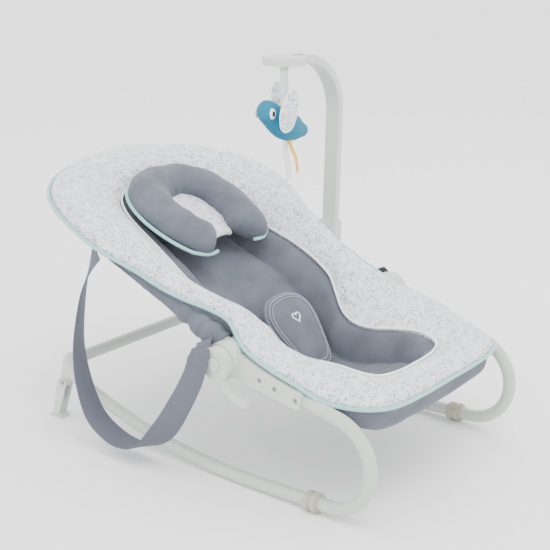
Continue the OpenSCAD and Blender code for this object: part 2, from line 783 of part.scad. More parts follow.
// A ribbon through the hook and down both of its sides, sewn to the bird's back.
module toy_loop() {
    leg_w = 8;
    leg_t = 1.2;
    color("#e7e7df") translate([toy_x, bar_y, hook_z]) {
        rotate([90, 0, 0]) cylinder(h = 20, d = 3.8, center = true);
        for (e = [-1, 1]) translate([-leg_w / 2, e * 9.5 - leg_t / 2, bird_z + 26 - hook_z])
            cube([leg_w, leg_t, hook_z - bird_z - 24]);
    }
}

// Half outline of the stuffed body, from the beak to the tail: [along, out].
bird_outline = [
    [-62, 0], [-62, 9], [-56, 16], [-45, 19.5], [-31, 19], [-15, 23], [3, 25.5], [20, 23], [38, 16],
    [54, 9], [64, 4], [64, 0],
];

module bird_body() {
    color("#0e9db8") translate([toy_x, bar_y, bird_z]) rotate([0, 90 + bird_dive, 0])
        rotate_extrude() polygon([for (p = bird_outline) [p.y, p.x]]);
}

module bird_wings() {
    color("#c9cdd2") for (e = [-1, 1]) translate([toy_x + 8, bar_y + e * 29, bird_z + 14])
        rotate([90, 20, 0]) linear_extrude(5, center = true) union() {
            circle(r = 17);
            translate([12, 8]) circle(r = 13);
        }
}

module bird_eyes() {
    color("white") for (e = [-1, 1]) translate([toy_x - 43, bar_y + e * 21.2, bird_z + 18])
        rotate([90, 0, 0]) cylinder(h = 2, r = 5, center = true);
}

module bird_ribbons() {
    color("#f2d25a") for (e = [-1, 1]) translate([toy_x + 18 + e * 9, bar_y, bird_z - 94])
        rotate([0, -e * 6, 0]) translate([-5, -2, 0]) cube([10, 4, 60]);
}

side_tube(-1);  // side_tube_left
side_tube(1);  // side_tube_right
rear_crossbar();
rear_corner(-1);  // rear_corner_left
rear_corner(1);  // rear_corner_right
foot(-1);  // foot_left
foot(1);  // foot_right
foot_pins();
floor_ring(-1);  // floor_ring_left
floor_ring(1);  // floor_ring_right
arm_outer(-1);  // arm_outer_left
arm_outer(1);  // arm_outer_right
arm_inner(-1);  // arm_inner_left
arm_inner(1);  // arm_inner_right
arm_screws();
seat_tube();
hub_axles();
axle_caps();
release_lever(-1);  // release_lever_left
release_lever(1);  // release_lever_right
lever_springs();
lock_pin(-1);  // lock_pin_left
lock_pin(1);  // lock_pin_right
back_hub(-1);  // back_hub_left
back_hub(1);  // back_hub_right
back_tube();
seat_pad();
seat_skirt();
seat_liner();
back_pad();
back_sleeve();
back_liner();
head_support();
crotch_pad();
crotch_strap();
harness_buckle();
carry_strap(-1);  // carry_strap_left
carry_strap(1);  // carry_strap_right
toy_socket();
toy_bar();
toy_disc();
toy_loop();
bird_body();
bird_wings();
bird_eyes();
bird_ribbons();
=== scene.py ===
import math

import bmesh
import bpy
import numpy as np
from mathutils import Matrix, Vector, noise


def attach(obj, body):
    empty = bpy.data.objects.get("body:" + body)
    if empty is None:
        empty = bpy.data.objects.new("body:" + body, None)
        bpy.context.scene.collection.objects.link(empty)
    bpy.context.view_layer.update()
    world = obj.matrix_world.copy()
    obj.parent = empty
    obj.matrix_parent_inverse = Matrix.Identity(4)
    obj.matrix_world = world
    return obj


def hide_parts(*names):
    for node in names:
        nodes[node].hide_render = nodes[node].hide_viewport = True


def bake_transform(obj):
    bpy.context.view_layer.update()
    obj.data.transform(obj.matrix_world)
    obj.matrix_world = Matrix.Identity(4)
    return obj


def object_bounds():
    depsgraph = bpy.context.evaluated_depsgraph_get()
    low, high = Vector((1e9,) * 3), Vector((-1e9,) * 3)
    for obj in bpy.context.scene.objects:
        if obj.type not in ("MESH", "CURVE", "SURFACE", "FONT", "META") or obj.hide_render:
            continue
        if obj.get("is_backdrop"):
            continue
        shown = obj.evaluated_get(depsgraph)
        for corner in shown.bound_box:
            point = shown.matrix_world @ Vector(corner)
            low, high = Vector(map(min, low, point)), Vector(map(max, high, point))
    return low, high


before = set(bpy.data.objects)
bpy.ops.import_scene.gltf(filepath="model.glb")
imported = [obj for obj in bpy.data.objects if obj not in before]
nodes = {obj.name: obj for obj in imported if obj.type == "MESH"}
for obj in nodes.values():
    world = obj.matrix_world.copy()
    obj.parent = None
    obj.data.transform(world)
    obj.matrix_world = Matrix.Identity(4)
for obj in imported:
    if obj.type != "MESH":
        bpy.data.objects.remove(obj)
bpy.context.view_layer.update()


# Room: a pale matt floor, large soft lights on both sides and overhead, and a camera at the
# height of a standing adult's waist, looking at the bouncer from its front left.
def linear(code):
    parts = [int(code[i:i + 2], 16) / 255 for i in (1, 3, 5)]
    return [v / 12.92 if v <= 0.04045 else ((v + 0.055) / 1.055) ** 2.4 for v in parts] + [1.0]


def add_node(tree, kind, links=None, sockets=None, **settings):
    node = tree.nodes.new(kind)
    for key, value in settings.items():
        setattr(node, key, value)
    for key, value in (sockets or {}).items():
        node.inputs[key].default_value = value
    for key, source in (links or {}).items():
        tree.links.new(source, node.inputs[key])
    return node


def start_material(name, roughness, colour="#ffffff"):
    material = bpy.data.materials.new(name)
    material.use_nodes = True
    tree = material.node_tree
    shader = tree.nodes["Principled BSDF"]
    shader.inputs["Roughness"].default_value = roughness
    shader.inputs["Base Color"].default_value = linear(colour)
    return material, tree, shader


def give(obj, material):
    obj.data.materials.clear()
    obj.data.materials.append(material)


def keep_mesh(name, verts, faces):
    mesh = bpy.data.meshes.new(name)
    mesh.from_pydata([tuple(v) for v in verts], [], faces)
    mesh.validate()
    obj = bpy.data.objects.new(name, mesh)
    bpy.context.scene.collection.objects.link(obj)
    return obj


floor_paint, tree, shader = start_material("matt_floor_paint", 0.9, "#fbfbfb")
coords = add_node(tree, "ShaderNodeTexCoord")
grain = add_node(tree, "ShaderNodeTexNoise", {"Vector": coords.outputs["Object"]}, {"Scale": 40.0})
bump = add_node(tree, "ShaderNodeBump", {"Height": grain.outputs["Fac"]}, {"Strength": 0.02})
tree.links.new(bump.outputs["Normal"], shader.inputs["Normal"])
reach = 9.0
corners = [(-reach, -reach, 0), (reach, -reach, 0), (reach, reach, 0), (-reach, reach, 0)]
floor = keep_mesh("studio_floor", corners, [(0, 1, 2, 3)])
give(floor, floor_paint)
floor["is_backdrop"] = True

world = bpy.data.worlds.new("studio_air")
bpy.context.scene.world = world
world.use_nodes = True
sky = world.node_tree.nodes["Background"]
sky.inputs["Color"].default_value = (1, 1, 1, 1)
sky.inputs["Strength"].default_value = 2.3


def soft_light(name, place, target, size, watts):
    lamp = bpy.data.lights.new(name, "AREA")
    lamp.shape = "DISK"
    lamp.size = size
    lamp.energy = watts
    obj = bpy.data.objects.new(name, lamp)
    bpy.context.scene.collection.objects.link(obj)
    obj.location = place
    obj.rotation_euler = (Vector(target) - Vector(place)).to_track_quat("-Z", "Y").to_euler()


soft_light("key_light", (-0.6, -0.9, 2.6), (0, 0, 0.25), 1.5, 34)
soft_light("front_fill", (-2.2, -1.6, 1.3), (0, 0, 0.25), 2.0, 10)
soft_light("right_fill", (2.2, 0.6, 2.0), (0, 0, 0.3), 1.8, 16)

lens = bpy.data.cameras.new("studio_camera")
lens.lens = 75.9
lens.sensor_width = 36
camera = bpy.data.objects.new("studio_camera", lens)
bpy.context.scene.collection.objects.link(camera)
camera.location = (-1.394, -1.125, 0.818)
aim = Vector((0, -0.017, 0.26)) - camera.location
camera.rotation_euler = aim.to_track_quat("-Z", "Y").to_euler()
bpy.context.scene.camera = camera


# Steel tubes: 20 mm steel tube, bent cold and powder coated in a warm off-white. The coat has
# a faint orange peel and a soft gloss.
painted_steel, tree, shader = start_material("powder_coated_steel", 0.36)
coords = add_node(tree, "ShaderNodeTexCoord")
cloud = add_node(tree, "ShaderNodeTexNoise", {"Vector": coords.outputs["Object"]}, {"Scale": 9.0})
tone = add_node(tree, "ShaderNodeValToRGB", {"Fac": cloud.outputs["Fac"]})
tone.color_ramp.elements[0].color = linear("#b3bab2")
tone.color_ramp.elements[1].color = linear("#c0c6bf")
tree.links.new(tone.outputs["Color"], shader.inputs["Base Color"])
peel = add_node(tree, "ShaderNodeTexNoise", {"Vector": coords.outputs["Object"]}, {"Scale": 900.0})
bump = add_node(tree, "ShaderNodeBump", {"Height": peel.outputs["Fac"]},
                {"Strength": 0.12, "Distance": 0.0002})
tree.links.new(bump.outputs["Normal"], shader.inputs["Normal"])
shader.inputs["Coat Weight"].default_value = 0.15
shader.inputs["Coat Roughness"].default_value = 0.25
for name in ("side_tube_left", "side_tube_right", "rear_crossbar", "seat_tube", "back_tube"):
    give(nodes[name], painted_steel)


# Moulded parts: arms, hubs, corners, feet, levers and the toy bar, injection moulded in
# polypropylene with a fine spark-eroded texture, the same off-white as the tubes.
moulded, tree, shader = start_material("moulded_polypropylene", 0.42)
coords = add_node(tree, "ShaderNodeTexCoord")
cloud = add_node(tree, "ShaderNodeTexNoise", {"Vector": coords.outputs["Object"]}, {"Scale": 14.0})
tone = add_node(tree, "ShaderNodeValToRGB", {"Fac": cloud.outputs["Fac"]})
tone.color_ramp.elements[0].color = linear("#bcc2bb")
tone.color_ramp.elements[1].color = linear("#cbd0ca")
tree.links.new(tone.outputs["Color"], shader.inputs["Base Color"])
sparks = add_node(tree, "ShaderNodeTexVoronoi", {"Vector": coords.outputs["Object"]},
                  {"Scale": 1600.0})
bump = add_node(tree, "ShaderNodeBump", {"Height": sparks.outputs["Distance"]},
                {"Strength": 0.15, "Distance": 0.0001})
tree.links.new(bump.outputs["Normal"], shader.inputs["Normal"])
for name in ("rear_corner_left", "rear_corner_right", "foot_left", "foot_right",
             "arm_outer_left", "arm_outer_right", "arm_inner_left", "arm_inner_right",
             "axle_caps", "release_lever_left", "release_lever_right", "back_hub_left",
             "back_hub_right", "toy_socket", "toy_bar", "toy_disc"):
    give(nodes[name], moulded)


# Screws, pins, axles and springs: zinc-plated steel, turned or wound, with fine marks round
# the axis left by the tool.
zinc, tree, shader = start_material("zinc_plated_steel", 0.38, "#9a9ea0")
shader.inputs["Metallic"].default_value = 1.0
coords = add_node(tree, "ShaderNodeTexCoord")
marks = add_node(tree, "ShaderNodeTexNoise", {"Vector": coords.outputs["Object"]},
                 {"Scale": 700.0, "Detail": 3.0})
rough = add_node(tree, "ShaderNodeMapRange", {"Value": marks.outputs["Fac"]},
                 {"To Min": 0.28, "To Max": 0.5})
tree.links.new(rough.outputs["Result"], shader.inputs["Roughness"])
for name in ("arm_screws", "foot_pins", "hub_axles", "lever_springs", "lock_pin_left",
             "lock_pin_right"):
    give(nodes[name], zinc)


# Floor rings: grip rings of a soft thermoplastic rubber, greyer and yellower than the paint,
# with a dry matt skin.
rubber, tree, shader = start_material("thermoplastic_rubber", 0.72)
coords = add_node(tree, "ShaderNodeTexCoord")
skin = add_node(tree, "ShaderNodeTexNoise", {"Vector": coords.outputs["Object"]},
                {"Scale": 260.0, "Detail": 4.0})
tone = add_node(tree, "ShaderNodeValToRGB", {"Fac": skin.outputs["Fac"]})
tone.color_ramp.elements[0].color = linear("#9f9e8a")
tone.color_ramp.elements[1].color = linear("#b8b7a5")
tree.links.new(tone.outputs["Color"], shader.inputs["Base Color"])
bump = add_node(tree, "ShaderNodeBump", {"Height": skin.outputs["Fac"]},
                {"Strength": 0.2, "Distance": 0.0003})
tree.links.new(bump.outputs["Normal"], shader.inputs["Normal"])
for name in ("floor_ring_left", "floor_ring_right"):
    give(nodes[name], rubber)


# Padded cover, upper side: a broad ring of heather-grey jersey over polyester wadding. It is
# sewn to the liner at its inner edge and to the underside at its outer edge, with piping in
# both seams, and it runs in one piece from the foot end over the hips to the head.
# Each row is one place round the right half: outer seam, inner seam, and the centre of the
# frame tube that the cover is pulled over.
cover_rows = [
    [(0.000, -0.345, 0.166), (0.000, -0.283, 0.168), (0.000, -0.321, 0.150)],
    [(0.075, -0.345, 0.166), (0.045, -0.282, 0.169), (0.075, -0.321, 0.150)],
    [(0.135, -0.339, 0.166), (0.078, -0.274, 0.171), (0.128, -0.319, 0.150)],
    [(0.166, -0.320, 0.166), (0.092, -0.260, 0.174), (0.160, -0.304, 0.154)],
    [(0.185, -0.290, 0.167), (0.098, -0.240, 0.177), (0.175, -0.283, 0.159)],
    [(0.197, -0.255, 0.172), (0.098, -0.215, 0.178), (0.178, -0.250, 0.1665)],
    [(0.205, -0.217, 0.188), (0.094, -0.185, 0.175), (0.178, -0.215, 0.175)],
    [(0.206, -0.167, 0.202), (0.089, -0.150, 0.170), (0.178, -0.165, 0.187)],
    [(0.198, -0.117, 0.217), (0.086, -0.118, 0.172), (0.178, -0.125, 0.195)],
    [(0.181, -0.075, 0.243), (0.088, -0.092, 0.184), (0.172, -0.085, 0.207)],
    [(0.186, -0.040, 0.256), (0.104, -0.066, 0.207), (0.180, -0.045, 0.228)],
    [(0.197, -0.005, 0.266), (0.125, -0.037, 0.227), (0.193, -0.008, 0.2425)],
    [(0.208, 0.033, 0.280), (0.136, 0.002, 0.246), (0.1965, 0.0396, 0.2657)],
    [(0.221, 0.083, 0.304), (0.137, 0.050, 0.268), (0.1989, 0.0895, 0.2889)],
    [(0.241, 0.133, 0.329), (0.128, 0.093, 0.287), (0.2013, 0.1402, 0.3126)],
    [(0.245, 0.183, 0.355), (0.119, 0.140, 0.308), (0.2028, 0.1880, 0.3363)],
    [(0.236, 0.229, 0.374), (0.113, 0.180, 0.327), (0.1930, 0.2313, 0.3551)],
    [(0.207, 0.277, 0.387), (0.104, 0.215, 0.344), (0.1707, 0.2660, 0.3730)],
    [(0.165, 0.314, 0.397), (0.083, 0.245, 0.358), (0.1400, 0.2925, 0.3845)],
    [(0.110, 0.340, 0.404), (0.050, 0.263, 0.367), (0.0980, 0.3170, 0.3955)],
    [(0.055, 0.354, 0.409), (0.022, 0.270, 0.371), (0.0500, 0.3268, 0.3996)],
    [(0.000, 0.358, 0.410), (0.000, 0.272, 0.372), (0.000, 0.3268, 0.3996)],
]
per_row = 8
flip = np.array([-1.0, 1.0, 1.0])
right_half = np.array(cover_rows)
left_half = right_half[-2:0:-1] * flip
all_rows = np.concatenate([right_half, left_half])


def smooth_loop(points, steps):
    out = []
    for i in range(len(points)):
        a, b, c, d = (points[(i + k - 1) % len(points)] for k in range(4))
        for t in np.arange(steps) / steps:
            out.append(0.5 * (2 * b + (c - a) * t + (2 * a - 5 * b + 4 * c - d) * t * t
                              + (3 * b - a - 3 * c + d) * t ** 3))
    return np.array(out)


def smooth_line(points, steps):
    points = np.asarray(points, float)
    points = np.concatenate([[2 * points[0] - points[1]], points, [2 * points[-1] - points[-2]]])
    out = []
    for i in range(1, len(points) - 2):
        a, b, c, d = points[i - 1:i + 3]
        for t in np.arange(steps) / steps:
            out.append(0.5 * (2 * b + (c - a) * t + (2 * a - 5 * b + 4 * c - d) * t * t
                              + (3 * b - a - 3 * c + d) * t ** 3))
    return np.array(out + [points[-2]])


def unit(v):
    return v / np.maximum(np.linalg.norm(v, axis=-1, keepdims=True), 1e-9)


outer_seam = smooth_loop(all_rows[:, 0], per_row)
inner_seam = smooth_loop(all_rows[:, 1], per_row)
tube_line = smooth_loop(all_rows[:, 2], per_row)
ring_n = len(outer_seam)
along = unit(np.roll(outer_seam, -1, 0) - np.roll(outer_seam, 1, 0))
inward = inner_seam - outer_seam
ring_width = np.linalg.norm(inward, axis=1, keepdims=True)
inward = inward / ring_width
upward = unit(np.cross(along, inward))
steps_along = np.linalg.norm(np.roll(outer_seam, -1, 0) - outer_seam, axis=1)
arc = np.concatenate([[0], np.cumsum(steps_along)[:-1]])
row_place = np.arange(ring_n) / per_row
half_place = np.minimum(row_place, len(all_rows) - row_place)


def grid_faces(rows, cols, close_rows, close_cols):
    faces = []
    for i in range(rows if close_rows else rows - 1):
        for j in range(cols if close_cols else cols - 1):
            a, b = i * cols + j, i * cols + (j + 1) % cols
            c, d = ((i + 1) % rows) * cols + (j + 1) % cols, ((i + 1) % rows) * cols + j
            faces.append((a, b, c, d))
    return faces


def tidy_mesh(obj, merge=1e-5):
    mesh = bmesh.new()
    mesh.from_mesh(obj.data)
    bmesh.ops.remove_doubles(mesh, verts=mesh.verts, dist=merge)
    bmesh.ops.recalc_face_normals(mesh, faces=mesh.faces)
    mesh.to_mesh(obj.data)
    mesh.free()
    obj.data.shade_smooth()


def bake(obj):
    ready = obj.evaluated_get(bpy.context.evaluated_depsgraph_get())
    mesh = bpy.data.meshes.new_from_object(ready)
    mesh.name = obj.name
    obj.modifiers.clear()
    if obj.type == "MESH":
        obj.data = mesh
        return obj
    name = obj.name
    bpy.data.objects.remove(obj)
    out = bpy.data.objects.new(name, mesh)
    bpy.context.scene.collection.objects.link(out)
    return out


def fold(place, size, seed):
    return noise.noise(Vector(place) / size + Vector((seed, 7.3 * seed, 3.1)))


pad_rise = np.interp(half_place, [0, 3, 5, 8, 9.5, 12, 15, 18, 21],
                     [0.018, 0.019, 0.021, 0.020, 0.022, 0.026, 0.028, 0.026, 0.024])
top_s = np.linspace(0, 1, 30)
low_s = np.linspace(1, 0, 14)[1:-1]
crest = np.sin(np.pi * top_s ** 0.8) ** 0.62
crest[0] = crest[-1] = 0
crease_places = [(8.7, 0.0045, 0.33), (4.4, 0.0026, 0.3), (12.6, 0.0014, 0.5), (9.6, 0.0022, 0.26)]
verts = []
for i in range(ring_n):
    for k, s in enumerate(top_s):
        lift = pad_rise[i] * crest[k]
        out = 0.004 * math.sin(math.pi * min(1, s * 3)) * (s < 0.34)
        p = outer_seam[i] + inward[i] * (ring_width[i, 0] * s - out) + upward[i] * lift
        edge = min(s, 1 - s) * ring_width[i, 0]
        free = min(1, edge / 0.02)
        puff = 0.0035 * fold(p, 0.075, 1) + 0.0014 * fold(p, 0.03, 2)
        pucker = 0.0009 * math.exp(-edge / 0.012) * free ** 0.3
        pucker *= math.sin(2 * math.pi * arc[i] / 0.017 + 4 * fold(p, 0.05, 3))
        dent = 0
        for at, deep, wide in crease_places:
            wander = 0.35 * math.sin(3.1 * s + at)
            dent += deep * math.exp(-((half_place[i] - at - wander) / wide) ** 2)
        lift = (puff - dent * math.sin(math.pi * s) ** 0.5) * free + pucker * free
        verts.append(p + upward[i] * lift)
    for s in low_s:
        verts.append(outer_seam[i] + inward[i] * ring_width[i, 0] * s
                     - upward[i] * 0.005 * math.sin(math.pi * s) ** 0.5)
cols = len(top_s) + len(low_s)
cover_ring = keep_mesh("padded_ring", verts, grid_faces(ring_n, cols, True, True))
tidy_mesh(cover_ring)

# Heather jersey: dark, mid and white fibres spun together, in knit stitches about 2 mm apart,
# drawn slightly coarse. The knit gives a broken, matt surface with a little fuzz.
jersey, tree, shader = start_material("heather_jersey", 0.92)
coords = add_node(tree, "ShaderNodeTexCoord")
fibres = add_node(tree, "ShaderNodeTexNoise", {"Vector": coords.outputs["Object"]},
                  {"Scale": 330.0, "Detail": 3.0, "Roughness": 0.65, "Distortion": 0.6})
patch = add_node(tree, "ShaderNodeTexNoise", {"Vector": coords.outputs["Object"]},
                 {"Scale": 95.0, "Detail": 2.0})
both = add_node(tree, "ShaderNodeMath", {0: fibres.outputs["Fac"], 1: patch.outputs["Fac"]},
                {2: 0.0}, operation="MULTIPLY_ADD")
tree.links.new(fibres.outputs["Fac"], both.inputs[2])
tone = add_node(tree, "ShaderNodeValToRGB", {"Fac": both.outputs["Value"]})
tone.color_ramp.elements[0].position = 0.52
tone.color_ramp.elements[0].color = linear("#868e99")
tone.color_ramp.elements[1].position = 0.86
tone.color_ramp.elements[1].color = linear("#eef0f2")
middle = tone.color_ramp.elements.new(0.68)
middle.color = linear("#c3c8ce")
tree.links.new(tone.outputs["Color"], shader.inputs["Base Color"])
loops = add_node(tree, "ShaderNodeTexVoronoi", {"Vector": coords.outputs["Object"]},
                 {"Scale": 430.0})
bump = add_node(tree, "ShaderNodeBump", {"Height": loops.outputs["Distance"]},
                {"Strength": 0.35, "Distance": 0.0008})
tree.links.new(bump.outputs["Normal"], shader.inputs["Normal"])
shader.inputs["Sheen Weight"].default_value = 0.25
shader.inputs["Sheen Roughness"].default_value = 0.6
give(cover_ring, jersey)
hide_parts("seat_pad", "back_pad")
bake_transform(cover_ring)


# Liner: the slate-grey cotton hammock that the child lies in. It is lightly padded, with a
# flat middle panel and a wing on each side, and hangs from the inner seam of the ring.
spine_y = [-0.300, -0.262, -0.230, -0.200, -0.160, -0.125, -0.095, -0.060, -0.030, 0.000,
           0.036, 0.109, 0.180, 0.240, 0.290]
spine_z = [0.162, 0.152, 0.141, 0.131, 0.121, 0.117, 0.124, 0.148, 0.172, 0.198,
           0.228, 0.263, 0.297, 0.328, 0.358]
spine = np.zeros_like(inner_seam)
spine[:, 1] = np.clip(inner_seam[:, 1], -0.225, 0.205)
spine[:, 2] = np.interp(spine[:, 1], spine_y, spine_z)
liner_t = np.linspace(0, 1, 46)
wing_end = 0.38


def liner_point(i, t):
    a, b = inner_seam[i], spine[i]
    drop = np.interp(t, [0, 0.12, 0.26, wing_end, 0.6, 1], [0, 0.24, 0.60, 0.90, 0.97, 1])
    p = a + (b - a) * t
    p[2] = a[2] + (b[2] - a[2]) * drop
    wing = math.sin(math.pi * min(1, t / wing_end)) if t < wing_end else 0
    panel = math.sin(math.pi * (t - wing_end) / (2 - 2 * wing_end)) if t >= wing_end else 0
    seam = math.exp(-((t - wing_end) / 0.028) ** 2)
    p[2] += 0.011 * wing + 0.004 * panel - 0.007 * seam
    return p


liner_grid = np.array([[liner_point(i, t) for t in liner_t] for i in range(ring_n)])
verts = []
for i in range(ring_n):
    for k, t in enumerate(liner_t):
        p = liner_grid[i, k].copy()
        near_seam = min(1, t * 8)
        wave = 0.0030 * fold(p * (1, 1, 0.2), 0.055, 5) + 0.0022 * fold(p * (0.6, 1.6, 0), 0.024, 6)
        foot = max(0, min(1, (-0.13 - p[1]) / 0.05))
        wave += foot * 0.005 * fold(p * (1.2, 0.9, 0), 0.038, 9)
        crease = math.exp(-(p[0] / 0.004) ** 2) * foot * 0.004
        p[2] += (wave - crease) * near_seam
        verts.append(p)
liner = keep_mesh("liner", verts, grid_faces(ring_n, len(liner_t), True, False))
tidy_mesh(liner, 2e-4)
if sum(f.normal.z for f in liner.data.polygons) < 0:
    liner.data.flip_normals()
thick = liner.modifiers.new("wadding", "SOLIDIFY")
thick.thickness = 0.006
thick.offset = -1
liner = bake(liner)

# Slate cotton: a plain weave of dyed cotton, threads about 1.2 mm apart, drawn coarse. The
# colour clouds slightly, and worn folds catch the light.
slate_cotton, tree, shader = start_material("slate_cotton_weave", 0.86)
coords = add_node(tree, "ShaderNodeTexCoord")
cloud = add_node(tree, "ShaderNodeTexNoise", {"Vector": coords.outputs["Object"]},
                 {"Scale": 26.0, "Detail": 3.0})
tone = add_node(tree, "ShaderNodeValToRGB", {"Fac": cloud.outputs["Fac"]})
tone.color_ramp.elements[0].position = 0.3
tone.color_ramp.elements[0].color = linear("#50555f")
tone.color_ramp.elements[1].position = 0.72
tone.color_ramp.elements[1].color = linear("#5f6470")
tree.links.new(tone.outputs["Color"], shader.inputs["Base Color"])
warp = add_node(tree, "ShaderNodeTexWave", {"Vector": coords.outputs["Object"]},
                {"Scale": 260.0, "Distortion": 0.6}, bands_direction="X")
weft = add_node(tree, "ShaderNodeTexWave", {"Vector": coords.outputs["Object"]},
                {"Scale": 260.0, "Distortion": 0.6}, bands_direction="Y")
weave = add_node(tree, "ShaderNodeMath", {0: warp.outputs["Fac"], 1: weft.outputs["Fac"]},
                 operation="ADD")
bump = add_node(tree, "ShaderNodeBump", {"Height": weave.outputs["Value"]},
                {"Strength": 0.16, "Distance": 0.0004})
tree.links.new(bump.outputs["Normal"], shader.inputs["Normal"])
shader.inputs["Sheen Weight"].default_value = 0.12
shader.inputs["Sheen Roughness"].default_value = 0.5
give(liner, slate_cotton)
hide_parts("seat_liner", "back_liner")
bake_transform(liner)


# Underside: the same slate cotton, unpadded, sewn to the ring's outer seam. It goes round the
# frame tubes as a pocket, and closes the hammock from below.
pocket = np.interp(half_place, [0, 4, 5.5, 8, 10, 12, 21],
                   [0.017, 0.014, 0.010, 0.010, 0.011, 0.0125, 0.0125])
skirt = np.interp(half_place, [0, 3, 4.5, 6, 9, 21], [0.024, 0.022, 0.013, 0.010, 0.010, 0.0125])
outside = -unit(inward - upward * np.sum(inward * upward, 1, keepdims=True))
verts = []
per_span = 5
for i in range(ring_n):
    o, c, n, e = outer_seam[i], tube_line[i], upward[i], outside[i]
    r, deep = pocket[i], skirt[i]
    under_wing = liner_point(i, 0.5) - 0.017 * n
    path = [
        o - 0.001 * n,
        o * 0.5 + (c + r * (0.9 * e + 0.45 * n)) * 0.5,
        c + r * (0.97 * e + 0.1 * n),
        c + r * 0.8 * e - deep * 0.75 * n,
        c - deep * 1.05 * n,
        c - e * 0.02 - deep * 1.05 * n,
        inner_seam[i] - 0.026 * n,
        under_wing,
        spine[i] - np.array([0, 0, 0.018]),
    ]
    path = smooth_line(path, per_span)
    for k, p in enumerate(path):
        q = k / (len(path) - 1)
        ease = math.sin(math.pi * q) ** 0.5 if 0 < q < 1 else 0
        wave = 0.0018 * fold(p, 0.04, 11) + 0.0009 * fold(p * (1, 1, 0.4), 0.016, 12)
        verts.append(p - n * abs(wave) * ease)
under_cols = 8 * per_span + 1
underside = keep_mesh("underside", verts, grid_faces(ring_n, under_cols, True, False))
tidy_mesh(underside, 2e-4)
if sum(f.normal.z * f.area for f in underside.data.polygons) > 0:
    underside.data.flip_normals()
thick = underside.modifiers.new("cloth", "SOLIDIFY")
thick.thickness = 0.0012
thick.offset = -1
underside = bake(underside)
give(underside, slate_cotton)
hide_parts("seat_skirt")
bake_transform(underside)


# Piping: a cotton cord inside a folded bias strip, 6 mm mint in the outer seam and 4 mm white
# in the inner seam. A curve swept with a round section.
piping_tree = bpy.data.node_groups.new("piping", "GeometryNodeTree")
piping_tree.interface.new_socket("Path", in_out="INPUT", socket_type="NodeSocketGeometry")
piping_tree.interface.new_socket("Radius", in_out="INPUT", socket_type="NodeSocketFloat")
piping_tree.interface.new_socket("Cloth", in_out="INPUT", socket_type="NodeSocketMaterial")
piping_tree.interface.new_socket("Piping", in_out="OUTPUT", socket_type="NodeSocketGeometry")
given = add_node(piping_tree, "NodeGroupInput")
section = add_node(piping_tree, "GeometryNodeCurvePrimitiveCircle", {"Radius": given.outputs["Radius"]},
                   {"Resolution": 12})
sweep = add_node(piping_tree, "GeometryNodeCurveToMesh",
                 {"Curve": given.outputs["Path"], "Profile Curve": section.outputs["Curve"]},
                 {"Fill Caps": True})
smooth = add_node(piping_tree, "GeometryNodeSetShadeSmooth", {"Geometry": sweep.outputs["Mesh"]})
real = add_node(piping_tree, "GeometryNodeRealizeInstances", {"Geometry": smooth.outputs["Geometry"]})
dress = add_node(piping_tree, "GeometryNodeSetMaterial",
                 {"Geometry": real.outputs["Geometry"], "Material": given.outputs["Cloth"]})
add_node(piping_tree, "NodeGroupOutput", {"Piping": dress.outputs["Geometry"]})


def follow(name, points, tree, values, closed=False):
    curve = bpy.data.curves.new(name, "CURVE")
    curve.dimensions = "3D"
    line = curve.splines.new("POLY")
    line.points.add(len(points) - 1)
    for point, place in zip(line.points, points):
        point.co = (*place, 1)
    line.use_cyclic_u = closed
    obj = bpy.data.objects.new(name, curve)
    bpy.context.scene.collection.objects.link(obj)
    modifier = obj.modifiers.new(name, "NODES")
    modifier.node_group = tree
    ids = {item.name: item.identifier for item in tree.interface.items_tree
           if item.in_out == "INPUT"}
    for key, value in values.items():
        modifier[ids[key]] = value
    return bake(obj)


def bias_strip(name, dark, light):
    # Bias-cut poplin, its diagonal threads about 1 mm apart round the cord.
    material, tree, shader = start_material(name, 0.75)
    coords = add_node(tree, "ShaderNodeTexCoord")
    threads = add_node(tree, "ShaderNodeTexWave", {"Vector": coords.outputs["Object"]},
                       {"Scale": 320.0, "Distortion": 1.0}, bands_direction="DIAGONAL")
    tone = add_node(tree, "ShaderNodeValToRGB", {"Fac": threads.outputs["Fac"]})
    tone.color_ramp.elements[0].color = linear(dark)
    tone.color_ramp.elements[1].color = linear(light)
    tree.links.new(tone.outputs["Color"], shader.inputs["Base Color"])
    bump = add_node(tree, "ShaderNodeBump", {"Height": threads.outputs["Fac"]},
                    {"Strength": 0.2, "Distance": 0.0003})
    tree.links.new(bump.outputs["Normal"], shader.inputs["Normal"])
    shader.inputs["Sheen Weight"].default_value = 0.2
    return material


mint_poplin = bias_strip("mint_poplin", "#84bdb8", "#a4d3cf")
white_poplin = bias_strip("white_poplin", "#eef0f1", "#fbfbfb")
mint_path = outer_seam - inward * 0.0022 + upward * 0.0005
outer_piping = follow("outer_piping", mint_path, piping_tree,
                      {"Radius": 0.0029, "Cloth": mint_poplin}, closed=True)
white_path = inner_seam + upward * 0.0055
inner_piping = follow("inner_piping", white_path, piping_tree,
                      {"Radius": 0.0021, "Cloth": white_poplin}, closed=True)
for obj in (outer_piping, inner_piping):
    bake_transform(obj)


# Head support: a horseshoe bolster of slate cotton stuffed with fibre, round a flat panel of
# the heather jersey. Its outer edge is bound in mint. It rests at the top of the liner.
lean = math.radians(25)
hub = np.array([0, -0.092, 0.1977])
up_slope = np.array([0, math.cos(lean), math.sin(lean)])
off_slope = np.array([0, -math.sin(lean), math.cos(lean)])


def on_back(x, s, h):
    return hub + np.array([x, 0, 0]) + s * up_slope + h * off_slope


